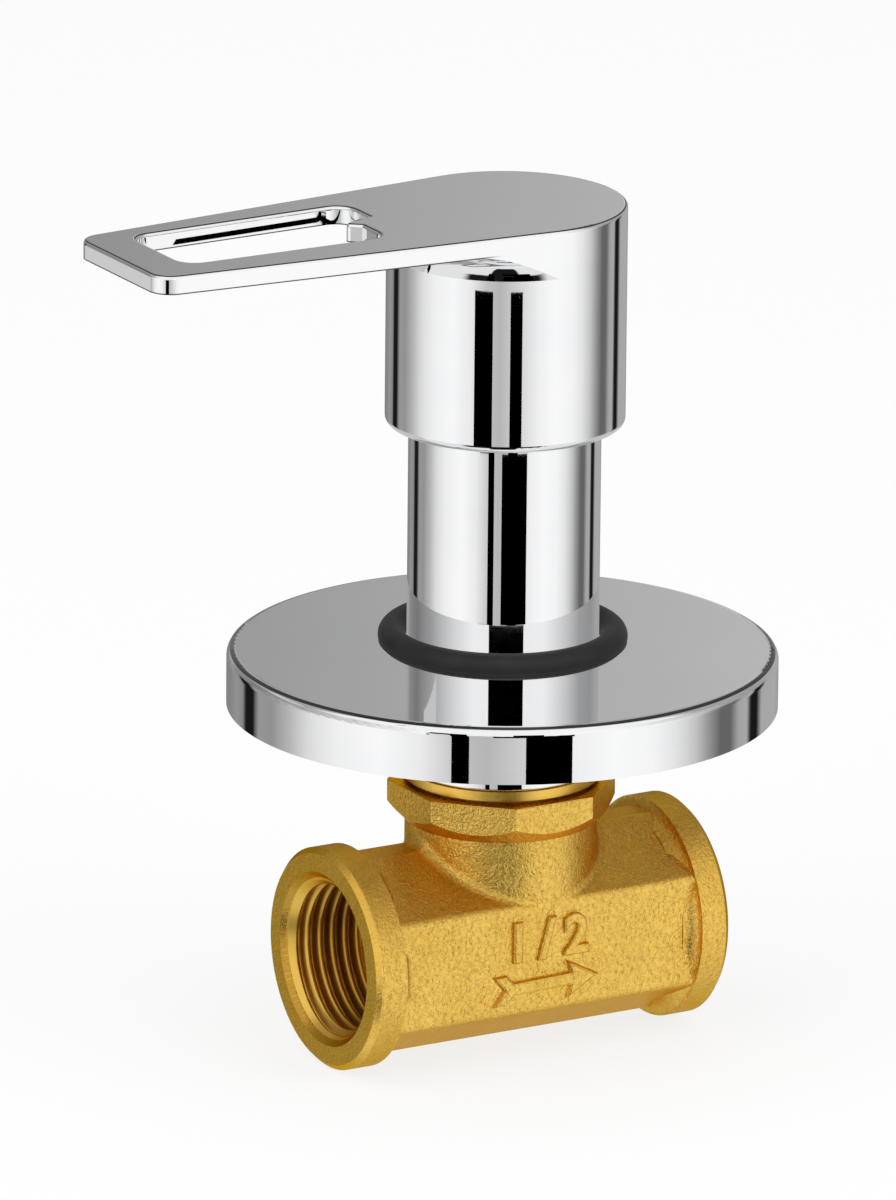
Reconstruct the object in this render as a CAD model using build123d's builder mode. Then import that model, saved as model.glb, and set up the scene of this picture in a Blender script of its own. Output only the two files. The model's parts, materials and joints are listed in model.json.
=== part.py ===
from build123d import *
from math import cos, pi, radians, sin
import os

# A built-in quarter-turn stop valve with a lever and a sliding wall flange.
# Millimetres. The pipe run lies along X and its axis is at height zero; the spindle's axis is Z.
# The flow goes towards +X. The lever points to -X, along the run, when the valve is open.

os.makedirs("parts", exist_ok=True)

# Brass body: the pipe run
hexagon_sides = 6
run_length = 51.6
run_width = 24.6
ridge_height = 26.2
run_edge_radius = 1.2
end_collar_diameter = 28.6
end_collar_width = 4.2
end_collar_edge = 0.7
end_collar_cove = 1.8
pipe_thread_diameter = 20.955
pipe_thread_depth = 13.0
mouth_diameter = 22.4

# Brass body: the neck and the chamber for the headwork
neck_diameter = 24.5
neck_cove = 1.5
neck_collar_width = 27.0
neck_collar_sides = 8
neck_collar_top = 20.6
neck_collar_side_height = 2.8
neck_mouth_chamfer = 0.9
chamber_diameter = 20.1
seat_height = 2.0
port_diameter = 9.6
inlet_way_diameter = 10.0
inlet_way_height = -4.6
inlet_way_reach = 5.0
outlet_way_diameter = 6.8
outlet_way_height = 5.7
gasket_seat_depth = 2.0
gasket_seat_diameter = 23.2

# Headwork: housing
thread_clearance = 0.05
loose_clearance = 0.1
gasket_thickness = 0.8
housing_rim_diameter = 24.9
housing_rim_thickness = 1.2
housing_shoulder_height = 1.6
housing_skirt_diameter = 18.0
housing_skirt_bore = 15.8
housing_skirt_lift = 1.2
sleeve_thread_diameter = 22.0
sleeve_thread_length = 5.8
housing_key_width = 17.0
housing_key_height = 5.0
gland_diameter = 13.0
gland_height = 11.0
gland_chamfer = 0.6
window_width = 8.0
window_height = 4.0

# Headwork: seal, discs and spindle
seat_seal_height = 2.0
seat_seal_bore = 13.0
disc_thickness = 2.6
disc_gap = 0.02
fixed_disc_diameter = 15.6
turning_disc_diameter = 15.0
disc_port_inner = 5.0
disc_port_outer = 12.4
disc_port_angle = 78.0
disc_port_middles = (90.0, 270.0)
disc_lug_width = 3.0
disc_lug_reach = 0.9
dog_width = 3.0
dog_length = 10.0
dog_depth = 1.2
spindle_diameter = 8.0
running_clearance = 0.05
shoulder_diameter = 14.0
shoulder_thickness = 2.0
washer_thickness = 0.7
stem_ring_thickness = 1.0
stem_ring_heights = (20.0, 25.0)
stem_groove_width = 1.5
stop_ring_thickness = 1.2
stop_ring_diameter = 10.0
stop_lug_reach = 1.4
stop_lug_angle = 30.0
stop_lug_middle = 180.0
stop_wall_inner = 10.4
stop_play_angle = 1.0
quarter_turn = 90.0
clip_thickness = 0.8
clip_diameter = 10.0
clip_groove_diameter = 6.8
clip_mouth_width = 5.0
spindle_spline_length = 8.0
spline_depth = 0.5
spline_root_share = 0.6
spline_tip_share = 0.3
spindle_teeth = 20

# Extension from the spindle up to the handle
extension_diameter = 11.2
extension_recess = 4.5
extension_teeth = 24
extension_web = 2.0
extension_bore = 6.6
screw_diameter = 4.0
screw_head_diameter = 6.0
screw_head_height = 2.6
screw_key_width = 2.5
screw_key_depth = 1.6
screw_reach = 7.6
tapped_hole_depth = 9.4

# Chrome sleeve and its centring bush
sleeve_diameter = 24.4
sleeve_wall = 1.15
sleeve_overlap = 6.0
sleeve_edge_radius = 0.3
bush_depth = 4.2
bush_lip_thickness = 0.8
bush_lip_inset = 0.3

# Wall flange and the ring that holds it
flange_diameter = 70.0
flange_bottom = 30.3
flange_height = 7.3
flange_wall = 1.1
flange_edge_radius = 1.2
slide_clearance = 0.3
ring_thickness = 3.4
ring_clearance = 0.25
seat_gap = 0.02

# Lever handle
handle_diameter = 30.4
handle_bottom = 67.4
handle_height = 28.7
handle_wall = 1.8
handle_roof = 3.2
skirt_edge_radius = 1.0
lever_thickness = 2.4
lever_reach = 55.8
lever_tip_width = 22.2
lever_tip_radius = 3.0
lever_edge_radius = 0.5
cove_radius = 3.8
slot_tip_wall = 6.1
slot_tip_width = 14.6
slot_hub_width = 15.8
slot_far_lobe = 18.6
slot_near_lobe = 21.4
slot_nose = 23.4
slot_offset = 0.8
slot_nose_width = 3.2
slot_nose_radius = 0.6
slot_corner_radius = 2.6
boss_diameter = 18.0
boss_clearance = 0.8
insert_diameter = 14.4
insert_recess = 2.0
insert_lift = 0.3
fit_clearance = 0.03

# Grub screw that fixes the handle, opposite the lever, and the plug over it
grub_lift = 7.0
grub_diameter = 4.0
grub_length = 5.0
grub_key_width = 2.0
grub_key_depth = 2.0
grub_block_width = 8.0
plug_diameter = 5.6
plug_depth = 2.0

# Heights and radii that follow
half_run = run_length / 2
neck_radius = neck_diameter / 2
end_collar_radius = end_collar_diameter / 2
thread_radius = pipe_thread_diameter / 2
mouth_radius = mouth_diameter / 2
chamber_radius = chamber_diameter / 2
collar_corner_radius = neck_collar_width / (2 * cos(pi / neck_collar_sides))
collar_cone_foot = neck_collar_top - neck_collar_side_height - (collar_corner_radius - neck_radius)
gasket_seat_height = neck_collar_top - gasket_seat_depth
shoulder_bottom = gasket_seat_height + gasket_thickness
rim_bottom = shoulder_bottom + housing_shoulder_height
rim_top = rim_bottom + housing_rim_thickness
housing_thread_radius = chamber_radius - thread_clearance
gasket_radius = gasket_seat_diameter / 2 - loose_clearance
key_bottom = rim_top + sleeve_thread_length
key_top = key_bottom + housing_key_height
gland_top = key_top + gland_height
skirt_bottom = seat_height + housing_skirt_lift
fixed_disc_bottom = seat_height + seat_seal_height
turning_disc_bottom = fixed_disc_bottom + disc_thickness + disc_gap
turning_disc_top = turning_disc_bottom + disc_thickness
shoulder_top = turning_disc_top + loose_clearance + shoulder_thickness
washer_top = shoulder_top + washer_thickness
cavity_top = washer_top + loose_clearance
spindle_radius = spindle_diameter / 2
stem_groove_radius = spindle_radius - stem_ring_thickness
stop_ring_bottom = gland_top + loose_clearance
clip_bottom = stop_ring_bottom + stop_ring_thickness
spline_bottom = clip_bottom + clip_thickness + 2 * loose_clearance
spindle_top = spline_bottom + spindle_spline_length
web_bottom = spindle_top + loose_clearance
web_top = web_bottom + extension_web
sleeve_radius = sleeve_diameter / 2
sleeve_top = handle_bottom + sleeve_overlap
sleeve_bore_radius = sleeve_radius - sleeve_wall
extension_radius = extension_diameter / 2
flange_top = flange_bottom + flange_height
flange_bore_radius = sleeve_radius + slide_clearance
handle_radius = handle_diameter / 2
skirt_bore_radius = handle_radius - handle_wall
handle_top = handle_bottom + handle_height
roof_height = handle_top - handle_roof
extension_top = roof_height - extension_recess
lever_bottom = handle_top - lever_thickness
slot_tip = lever_reach - slot_tip_wall
boss_radius = boss_diameter / 2
boss_bottom = sleeve_top + bush_lip_thickness + boss_clearance
grub_height = boss_bottom + grub_lift
insert_radius = insert_diameter / 2
insert_bottom = boss_bottom + insert_lift
insert_length = roof_height - insert_recess - insert_bottom
extension_spline_bottom = insert_bottom - loose_clearance
plug_floor = handle_radius - plug_depth
grub_tip = insert_radius + loose_clearance


def at_angle(radius, angle):
    """Point at a radius and an angle in radians."""
    return (radius * cos(angle), radius * sin(angle))


def splined_outline(tip_radius, teeth):
    """Corner points of a splined shaft: each tooth is a trapezium, narrower at its tip."""
    pitch = 2 * pi / teeth
    points = []
    for tooth in range(teeth):
        middle = tooth * pitch
        points.append(at_angle(tip_radius - spline_depth, middle - spline_root_share * pitch / 2))
        points.append(at_angle(tip_radius, middle - spline_tip_share * pitch / 2))
        points.append(at_angle(tip_radius, middle + spline_tip_share * pitch / 2))
        points.append(at_angle(tip_radius - spline_depth, middle + spline_root_share * pitch / 2))
    return points


def ring_sector(inner_radius, outer_radius, angle, middle):
    """Closed outline of a ring sector: two arcs and two straight sides. Angles in degrees."""
    turns = (radians(middle - angle / 2), radians(middle), radians(middle + angle / 2))
    inner_points = [at_angle(inner_radius, turn) for turn in turns]
    outer_points = [at_angle(outer_radius, turn) for turn in turns]
    with BuildLine() as outline:
        ThreePointArc(*outer_points)
        Line(outer_points[-1], inner_points[-1])
        ThreePointArc(*reversed(inner_points))
        Line(inner_points[0], outer_points[0])
    return outline.line


# Brass body. The neck collar is an eight-sided prism turned to a cone underneath.
with BuildPart() as neck_collar:
    with BuildSketch(Plane.XY.offset(collar_cone_foot)):
        RegularPolygon(
            neck_collar_width / 2, neck_collar_sides, major_radius=False, rotation=180 / neck_collar_sides
        )
    extrude(amount=neck_collar_top - collar_cone_foot)
    with BuildSketch(Plane.XZ):
        with BuildLine():
            Polyline(
                (0, collar_cone_foot),
                (neck_radius, collar_cone_foot),
                (collar_corner_radius, neck_collar_top - neck_collar_side_height),
                (collar_corner_radius, neck_collar_top),
                (0, neck_collar_top),
                close=True,
            )
        make_face()
    revolve(axis=Axis.Z, mode=Mode.INTERSECT)

with BuildPart() as valve_body:
    with BuildSketch(Plane.YZ.offset(end_collar_edge - half_run)):
        RegularPolygon(run_width / 2, hexagon_sides, major_radius=False, rotation=180 / hexagon_sides)
        Rectangle(run_width, ridge_height, mode=Mode.INTERSECT)
        fillet(vertices(), radius=run_edge_radius)
    extrude(amount=run_length - 2 * end_collar_edge)
    with BuildSketch(Plane.XY):
        Circle(neck_radius)
    extrude(amount=collar_cone_foot)
    neck_foot = edges(Select.NEW).filter_by(Axis.Z, reverse=True).group_by(Axis.Z)[:-1]
    fillet([edge for level in neck_foot for edge in level], radius=neck_cove)
    # end collars, each with a bevelled rim and a cove down to the run
    for side in (-1, 1):
        collar_end = half_run - end_collar_width
        cove_turn = end_collar_cove * (1 - cos(pi / 4))
        with BuildSketch(Plane.XZ):
            with BuildLine():
                Polyline(
                    (side * (collar_end - end_collar_cove), end_collar_radius - end_collar_cove),
                    (side * (collar_end - end_collar_cove), 0),
                    (side * half_run, 0),
                    (side * half_run, end_collar_radius - end_collar_edge),
                    (side * (half_run - end_collar_edge), end_collar_radius),
                    (side * collar_end, end_collar_radius),
                )
                ThreePointArc(
                    (side * collar_end, end_collar_radius),
                    (side * (collar_end - cove_turn), end_collar_radius - end_collar_cove + cove_turn),
                    (side * (collar_end - end_collar_cove), end_collar_radius - end_collar_cove),
                )
            make_face()
        revolve(axis=Axis.X)
    add(neck_collar.part)
    # chamber for the headwork, with a step for its gasket
    with BuildSketch(Plane.XZ):
        with BuildLine():
            Polyline(
                (0, seat_height),
                (chamber_radius, seat_height),
                (chamber_radius, gasket_seat_height),
                (gasket_seat_diameter / 2, gasket_seat_height),
                (gasket_seat_diameter / 2, neck_collar_top - neck_mouth_chamfer),
                (gasket_seat_diameter / 2 + neck_mouth_chamfer, neck_collar_top),
                (0, neck_collar_top),
                close=True,
            )
        make_face()
    revolve(axis=Axis.Z, mode=Mode.SUBTRACT)
    # way in: under the seat and up through its port
    with BuildSketch(Plane.YZ.offset(-half_run)):
        with Locations((0, inlet_way_height)):
            Circle(inlet_way_diameter / 2)
    extrude(amount=half_run + inlet_way_reach, mode=Mode.SUBTRACT)
    with BuildSketch(Plane.XY.offset(inlet_way_height)):
        Circle(port_diameter / 2)
    extrude(amount=seat_height - inlet_way_height, mode=Mode.SUBTRACT)
    # way out: from the chamber's side to the outlet
    with BuildSketch(Plane.YZ.offset(half_run)):
        with Locations((0, outlet_way_height)):
            Circle(outlet_way_diameter / 2)
    extrude(amount=-half_run, mode=Mode.SUBTRACT)
    # pipe threads at their major diameter, each with a countersunk mouth
    for side in (-1, 1):
        with BuildSketch(Plane.XZ):
            with BuildLine():
                Polyline(
                    (side * half_run, 0),
                    (side * half_run, mouth_radius),
                    (side * (half_run - (mouth_radius - thread_radius)), thread_radius),
                    (side * (half_run - pipe_thread_depth), thread_radius),
                    (side * (half_run - pipe_thread_depth), 0),
                    close=True,
                )
            make_face()
        revolve(axis=Axis.X, mode=Mode.SUBTRACT)

# Flat gasket between the body and the headwork
with BuildPart() as housing_gasket:
    with BuildSketch(Plane.XY.offset(gasket_seat_height)):
        Circle(gasket_radius)
        Circle(chamber_radius + loose_clearance, mode=Mode.SUBTRACT)
    extrude(amount=gasket_thickness)

# Headwork housing: skirt round the discs, thread, shoulder and rim, sleeve thread, key hexagon, gland
with BuildPart() as cartridge_housing:
    with BuildSketch(Plane.XZ):
        with BuildLine():
            Polyline(
                (housing_skirt_bore / 2, skirt_bottom),
                (housing_skirt_diameter / 2, skirt_bottom),
                (housing_skirt_diameter / 2, cavity_top),
                (housing_thread_radius, cavity_top),
                (housing_thread_radius, shoulder_bottom),
                (gasket_radius, shoulder_bottom),
                (gasket_radius, rim_bottom),
                (housing_rim_diameter / 2, rim_bottom),
                (housing_rim_diameter / 2, rim_top),
                (sleeve_thread_diameter / 2, rim_top),
                (sleeve_thread_diameter / 2, key_bottom),
                (spindle_radius + running_clearance, key_bottom),
                (spindle_radius + running_clearance, cavity_top),
                (housing_skirt_bore / 2, cavity_top),
                close=True,
            )
        make_face()
    revolve(axis=Axis.Z)
    with BuildSketch(Plane.XY.offset(key_bottom)):
        RegularPolygon(housing_key_width / 2, hexagon_sides, major_radius=False)
    extrude(amount=housing_key_height)
    with BuildSketch(Plane.XY.offset(key_top)):
        Circle(gland_diameter / 2)
    extrude(amount=gland_height)
    chamfer(edges().group_by(Axis.Z)[-1], gland_chamfer)
    # stop wall on the gland: it is open where the stop ring's lug travels
    with BuildSketch(Plane.XY.offset(gland_top)):
        make_face(
            ring_sector(
                stop_wall_inner / 2,
                gland_diameter / 2 - gland_chamfer,
                360 - quarter_turn - stop_lug_angle - 2 * stop_play_angle,
                middle=stop_lug_middle + 180 - quarter_turn / 2,
            )
        )
    extrude(amount=stop_ring_thickness)
    with BuildSketch(Plane.XY.offset(key_bottom)):
        Circle(spindle_radius + running_clearance)
    extrude(amount=gland_top - key_bottom, mode=Mode.SUBTRACT)
    # windows that let the water out of the skirt, and notches for the fixed disc's lugs
    with BuildSketch(Plane.YZ):
        with Locations((0, turning_disc_bottom + window_height / 2)):
            Rectangle(window_width, window_height)
    extrude(amount=housing_skirt_diameter, both=True, mode=Mode.SUBTRACT)
    with BuildSketch(Plane.XZ):
        with Locations((0, (skirt_bottom + fixed_disc_bottom + disc_thickness) / 2)):
            Rectangle(
                disc_lug_width + 2 * loose_clearance, fixed_disc_bottom + disc_thickness - skirt_bottom
            )
    extrude(amount=housing_skirt_diameter, both=True, mode=Mode.SUBTRACT)

# Rubber seat seal: a ring between the body's seat and the fixed disc
with BuildPart() as seat_seal:
    with BuildSketch(Plane.XY.offset(seat_height)):
        Circle(fixed_disc_diameter / 2)
        Circle(seat_seal_bore / 2, mode=Mode.SUBTRACT)
    extrude(amount=seat_seal_height)

# Fixed ceramic disc: two ports across the run, and two lugs that hold it in the skirt
with BuildPart() as fixed_disc:
    with BuildSketch(Plane.XY.offset(fixed_disc_bottom)):
        Circle(fixed_disc_diameter / 2)
        Rectangle(disc_lug_width, fixed_disc_diameter + 2 * disc_lug_reach)
        for middle in disc_port_middles:
            make_face(
                ring_sector(disc_port_inner / 2, disc_port_outer / 2, disc_port_angle, middle),
                mode=Mode.SUBTRACT,
            )
    extrude(amount=disc_thickness)

# Turning ceramic disc: the same ports, and a blind slot for the spindle's dog
with BuildPart() as turning_disc:
    with BuildSketch(Plane.XY.offset(turning_disc_bottom)):
        Circle(turning_disc_diameter / 2)
        for middle in disc_port_middles:
            make_face(
                ring_sector(disc_port_inner / 2, disc_port_outer / 2, disc_port_angle, middle),
                mode=Mode.SUBTRACT,
            )
    extrude(amount=disc_thickness)
    with BuildSketch(Plane.XY.offset(turning_disc_top)):
        Rectangle(dog_length + 2 * loose_clearance, dog_width + 2 * loose_clearance)
    extrude(amount=-dog_depth - loose_clearance, mode=Mode.SUBTRACT)

# Spindle: dog, shoulder, stem with two ring grooves, clip groove, splined end with a tapped hole
with BuildPart() as spindle:
    with BuildSketch(Plane.XY.offset(turning_disc_top - dog_depth)):
        Rectangle(dog_length, dog_width)
    extrude(amount=dog_depth + loose_clearance)
    with BuildSketch(Plane.XY.offset(turning_disc_top + loose_clearance)):
        Circle(shoulder_diameter / 2)
    extrude(amount=shoulder_thickness)
    with BuildSketch(Plane.XY.offset(shoulder_top)):
        Circle(spindle_radius)
    extrude(amount=spline_bottom - shoulder_top)
    for height, width, root in (
        (stem_ring_heights[0], stem_groove_width, stem_groove_radius),
        (stem_ring_heights[1], stem_groove_width, stem_groove_radius),
        (clip_bottom + clip_thickness / 2, clip_thickness + loose_clearance, clip_groove_diameter / 2),
    ):
        with BuildSketch(Plane.XY.offset(height - width / 2)):
            Circle(spindle_radius + running_clearance)
            Circle(root, mode=Mode.SUBTRACT)
        extrude(amount=width, mode=Mode.SUBTRACT)
    with BuildSketch(Plane.XY.offset(spline_bottom)):
        Polygon(*splined_outline(spindle_radius, spindle_teeth), align=None)
    extrude(amount=spindle_spline_length)
    with BuildSketch(Plane.XY.offset(spindle_top)):
        Circle(screw_diameter / 2 + thread_clearance)
    extrude(amount=-tapped_hole_depth, mode=Mode.SUBTRACT)

# Two rubber rings in the stem's grooves
with BuildPart() as stem_seals:
    ring_radius = stem_ring_thickness / 2
    with BuildSketch(Plane.XZ):
        for height in stem_ring_heights:
            with Locations((stem_groove_radius + ring_radius + seat_gap, height)):
                Circle(ring_radius)
    revolve(axis=Axis.Z)

# Low-friction washer between the spindle's shoulder and the housing
with BuildPart() as thrust_washer:
    with BuildSketch(Plane.XY.offset(shoulder_top)):
        Circle(shoulder_diameter / 2)
        Circle(spindle_radius + loose_clearance, mode=Mode.SUBTRACT)
    extrude(amount=washer_thickness)

# Stop ring: its lug meets the gland's stop wall at each end of the quarter turn
with BuildPart() as stop_ring:
    with BuildSketch(Plane.XY.offset(stop_ring_bottom)):
        Circle(stop_ring_diameter / 2)
        make_face(
            ring_sector(
                spindle_radius,
                stop_ring_diameter / 2 + stop_lug_reach,
                stop_lug_angle,
                middle=stop_lug_middle,
            )
        )
        Circle(spindle_radius + fit_clearance, mode=Mode.SUBTRACT)
    extrude(amount=stop_ring_thickness)

# Open retaining clip in the spindle's groove
with BuildPart() as retaining_clip:
    with BuildSketch(Plane.XY.offset(clip_bottom)):
        Circle(clip_diameter / 2)
        Circle(clip_groove_diameter / 2 + fit_clearance, mode=Mode.SUBTRACT)
        with Locations((clip_diameter / 2, 0)):
            Rectangle(clip_diameter, clip_mouth_width, mode=Mode.SUBTRACT)
    extrude(amount=clip_thickness)

# Extension: a splined socket below, a web for the screw, a bore for its head, a splined head
with BuildPart() as spindle_extension:
    with BuildSketch(Plane.XY.offset(spline_bottom)):
        Circle(extension_radius)
    extrude(amount=extension_spline_bottom - spline_bottom)
    with BuildSketch(Plane.XY.offset(extension_spline_bottom)):
        Polygon(*splined_outline(extension_radius, extension_teeth), align=None)
    extrude(amount=extension_top - extension_spline_bottom)
    with BuildSketch(Plane.XY.offset(spline_bottom)):
        Polygon(*splined_outline(spindle_radius + thread_clearance, spindle_teeth), align=None)
    extrude(amount=web_bottom - spline_bottom, mode=Mode.SUBTRACT)
    with BuildSketch(Plane.XY.offset(web_top)):
        Circle(extension_bore / 2)
    extrude(amount=extension_top - web_top, mode=Mode.SUBTRACT)
    with BuildSketch(Plane.XY.offset(web_bottom)):
        Circle(screw_diameter / 2 + loose_clearance)
    extrude(amount=extension_web, mode=Mode.SUBTRACT)

# Long screw that holds the extension down on the spindle
with BuildPart() as extension_screw:
    with BuildSketch(Plane.XY.offset(web_top)):
        Circle(screw_head_diameter / 2)
    extrude(amount=screw_head_height)
    with BuildSketch(Plane.XY.offset(web_top)):
        Circle(screw_diameter / 2)
    extrude(amount=-extension_web - screw_reach)
    with BuildSketch(Plane.XY.offset(web_top + screw_head_height)):
        RegularPolygon(screw_key_width / 2, hexagon_sides, major_radius=False)
    extrude(amount=-screw_key_depth, mode=Mode.SUBTRACT)

# Chrome sleeve, screwed on the housing and standing on its rim
with BuildPart() as chrome_sleeve:
    with BuildSketch(Plane.XY.offset(rim_top)):
        Circle(sleeve_radius)
        Circle(sleeve_bore_radius, mode=Mode.SUBTRACT)
    extrude(amount=sleeve_top - rim_top)
    rims = edges().filter_by(GeomType.CIRCLE).group_by(SortBy.RADIUS)[-1]
    fillet(rims, radius=sleeve_edge_radius)

# Centring bush: plugs into the sleeve's top and guides the extension
with BuildPart() as centring_bush:
    with BuildSketch(Plane.XY.offset(sleeve_top - bush_depth)):
        Circle(sleeve_bore_radius - fit_clearance)
        Circle(extension_radius + running_clearance, mode=Mode.SUBTRACT)
    extrude(amount=bush_depth)
    with BuildSketch(Plane.XY.offset(sleeve_top)):
        Circle(sleeve_radius - bush_lip_inset)
        Circle(extension_radius + running_clearance, mode=Mode.SUBTRACT)
    extrude(amount=bush_lip_thickness)

# Wall flange: a turned dish that slides on the sleeve
with BuildPart() as wall_flange:
    with BuildSketch(Plane.XZ):
        with BuildLine():
            Polyline(
                (flange_bore_radius, flange_top - flange_wall),
                (flange_diameter / 2 - flange_wall, flange_top - flange_wall),
                (flange_diameter / 2 - flange_wall, flange_bottom),
                (flange_diameter / 2, flange_bottom),
                (flange_diameter / 2, flange_top),
                (flange_bore_radius, flange_top),
                close=True,
            )
        make_face()
        top_corner = vertices().group_by(Axis.X)[-1].sort_by(Axis.Y)[-1]
        fillet(top_corner, radius=flange_edge_radius)
    revolve(axis=Axis.Z)

# Rubber ring on the flange, round the sleeve
with BuildPart() as flange_ring:
    tube_radius = ring_thickness / 2
    with BuildSketch(Plane.XZ):
        with Locations((sleeve_radius + ring_clearance + tube_radius, flange_top + tube_radius + seat_gap)):
            Circle(tube_radius)
    revolve(axis=Axis.Z)

# Lever handle. The cove under the lever is a turned fillet, trimmed to the lever's outline.
with BuildSketch() as lever_outline:
    Circle(handle_radius)
    for side in (-1, 1):
        with Locations((lever_tip_radius - lever_reach, side * (lever_tip_width / 2 - lever_tip_radius))):
            Circle(lever_tip_radius)
    make_hull()

with BuildPart() as lever_cove:
    with BuildSketch(Plane.XZ):
        with BuildLine():
            wall_start = (handle_radius - handle_wall / 2, lever_bottom)
            cove_tip = (handle_radius + cove_radius, lever_bottom)
            cove_foot = (handle_radius, lever_bottom - cove_radius)
            wall_end = (handle_radius - handle_wall / 2, lever_bottom - cove_radius)
            cove_reach = cove_radius * (1 - cos(pi / 4))
            cove_middle = (handle_radius + cove_reach, lever_bottom - cove_reach)
            Line(wall_start, cove_tip)
            ThreePointArc(cove_tip, cove_middle, cove_foot)
            Line(cove_foot, wall_end)
            Line(wall_end, wall_start)
        make_face()
    revolve(axis=Axis.Z)
    with BuildSketch(Plane.XY.offset(lever_bottom)):
        add(lever_outline.sketch)
    extrude(amount=-cove_radius, mode=Mode.INTERSECT)

with BuildPart() as lever_handle:
    with BuildSketch(Plane.XY.offset(handle_bottom)):
        Circle(handle_radius)
    extrude(amount=handle_top - handle_bottom)
    fillet(edges().group_by(Axis.Z)[0], radius=skirt_edge_radius)
    with BuildSketch(Plane.XY.offset(lever_bottom)):
        add(lever_outline.sketch)
    extrude(amount=lever_thickness)
    add(lever_cove.part)
    # slot with two lobes at the hub's end and a blunt nose between them, a little off the lever's middle
    with BuildSketch(Plane.XY.offset(lever_bottom - cove_radius)):
        with BuildLine():
            Polyline(
                (-slot_tip, slot_offset + slot_tip_width / 2),
                (-slot_far_lobe, slot_offset + slot_hub_width / 2),
                (-slot_far_lobe, slot_offset + slot_nose_width / 2),
                (-slot_nose, slot_offset),
                (-slot_near_lobe, slot_offset - slot_nose_width / 2),
                (-slot_near_lobe, slot_offset - slot_hub_width / 2),
                (-slot_tip, slot_offset - slot_tip_width / 2),
                close=True,
            )
        make_face()
        rows = vertices().group_by(Axis.Y)
        fillet(rows[0] + rows[1] + rows[-2] + rows[-1], radius=slot_corner_radius)
        nose = vertices().sort_by_distance((-slot_nose, slot_offset))[0]
        fillet(nose, radius=slot_nose_radius)
    extrude(amount=cove_radius + lever_thickness, mode=Mode.SUBTRACT)
    fillet(edges().group_by(Axis.Z)[-1], radius=lever_edge_radius)
    # hollow under the head, with a boss for the splined insert and a block for the grub screw
    with BuildSketch(Plane.XY.offset(handle_bottom)):
        Circle(skirt_bore_radius)
    extrude(amount=roof_height - handle_bottom, mode=Mode.SUBTRACT)
    with BuildSketch(Plane.XY.offset(boss_bottom)):
        Circle(boss_radius)
        with Locations(((boss_radius + skirt_bore_radius) / 2, 0)):
            Rectangle(skirt_bore_radius - boss_radius + handle_wall, grub_block_width)
    extrude(amount=roof_height - boss_bottom)
    with BuildSketch(Plane.XY.offset(boss_bottom)):
        Circle(insert_radius + fit_clearance)
    extrude(amount=insert_lift + insert_length + loose_clearance, mode=Mode.SUBTRACT)
    with BuildSketch(Plane.YZ.offset(insert_radius)):
        with Locations((0, grub_height)):
            Circle(grub_diameter / 2 + thread_clearance)
    extrude(amount=handle_radius - insert_radius, mode=Mode.SUBTRACT)
    with BuildSketch(Plane.YZ.offset(plug_floor)):
        with Locations((0, grub_height)):
            Circle(plug_diameter / 2 + fit_clearance)
    extrude(amount=handle_radius - plug_floor, mode=Mode.SUBTRACT)

# Splined insert in the handle's boss
with BuildPart() as handle_insert:
    with BuildSketch(Plane.XY.offset(insert_bottom)):
        Circle(insert_radius)
        Polygon(
            *splined_outline(extension_radius + thread_clearance, extension_teeth),
            align=None,
            mode=Mode.SUBTRACT,
        )
    extrude(amount=insert_length)

# Grub screw with a hexagon socket
with BuildPart() as grub_screw:
    with BuildSketch(Plane.YZ.offset(grub_tip)):
        with Locations((0, grub_height)):
            Circle(grub_diameter / 2)
    extrude(amount=grub_length)
    with BuildSketch(Plane.YZ.offset(grub_tip + grub_length)):
        with Locations((0, grub_height)):
            RegularPolygon(grub_key_width / 2, hexagon_sides, major_radius=False)
    extrude(amount=-grub_key_depth, mode=Mode.SUBTRACT)

# Plug over the grub screw, trimmed to the skirt's curve
with BuildPart() as screw_plug:
    with BuildSketch(Plane.YZ.offset(plug_floor + fit_clearance)):
        with Locations((0, grub_height)):
            Circle(plug_diameter / 2)
    extrude(amount=handle_radius - plug_floor)
    with BuildSketch(Plane.XY.offset(grub_height)):
        Circle(handle_radius)
    extrude(amount=plug_diameter, both=True, mode=Mode.INTERSECT)

pieces = {
    "valve_body": valve_body,
    "housing_gasket": housing_gasket,
    "cartridge_housing": cartridge_housing,
    "seat_seal": seat_seal,
    "fixed_disc": fixed_disc,
    "turning_disc": turning_disc,
    "spindle": spindle,
    "stem_seals": stem_seals,
    "thrust_washer": thrust_washer,
    "stop_ring": stop_ring,
    "retaining_clip": retaining_clip,
    "spindle_extension": spindle_extension,
    "extension_screw": extension_screw,
    "chrome_sleeve": chrome_sleeve,
    "centring_bush": centring_bush,
    "wall_flange": wall_flange,
    "flange_ring": flange_ring,
    "lever_handle": lever_handle,
    "handle_insert": handle_insert,
    "grub_screw": grub_screw,
    "screw_plug": screw_plug,
}
for name, piece in pieces.items():
    piece.part.label = name
    export_step(piece.part, f"parts/{name}.step")
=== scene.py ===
import json
from math import asin, atan2, cos, pi, radians, sin, sqrt

import bmesh
import bpy
import numpy as np
from mathutils import Matrix, Vector


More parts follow.
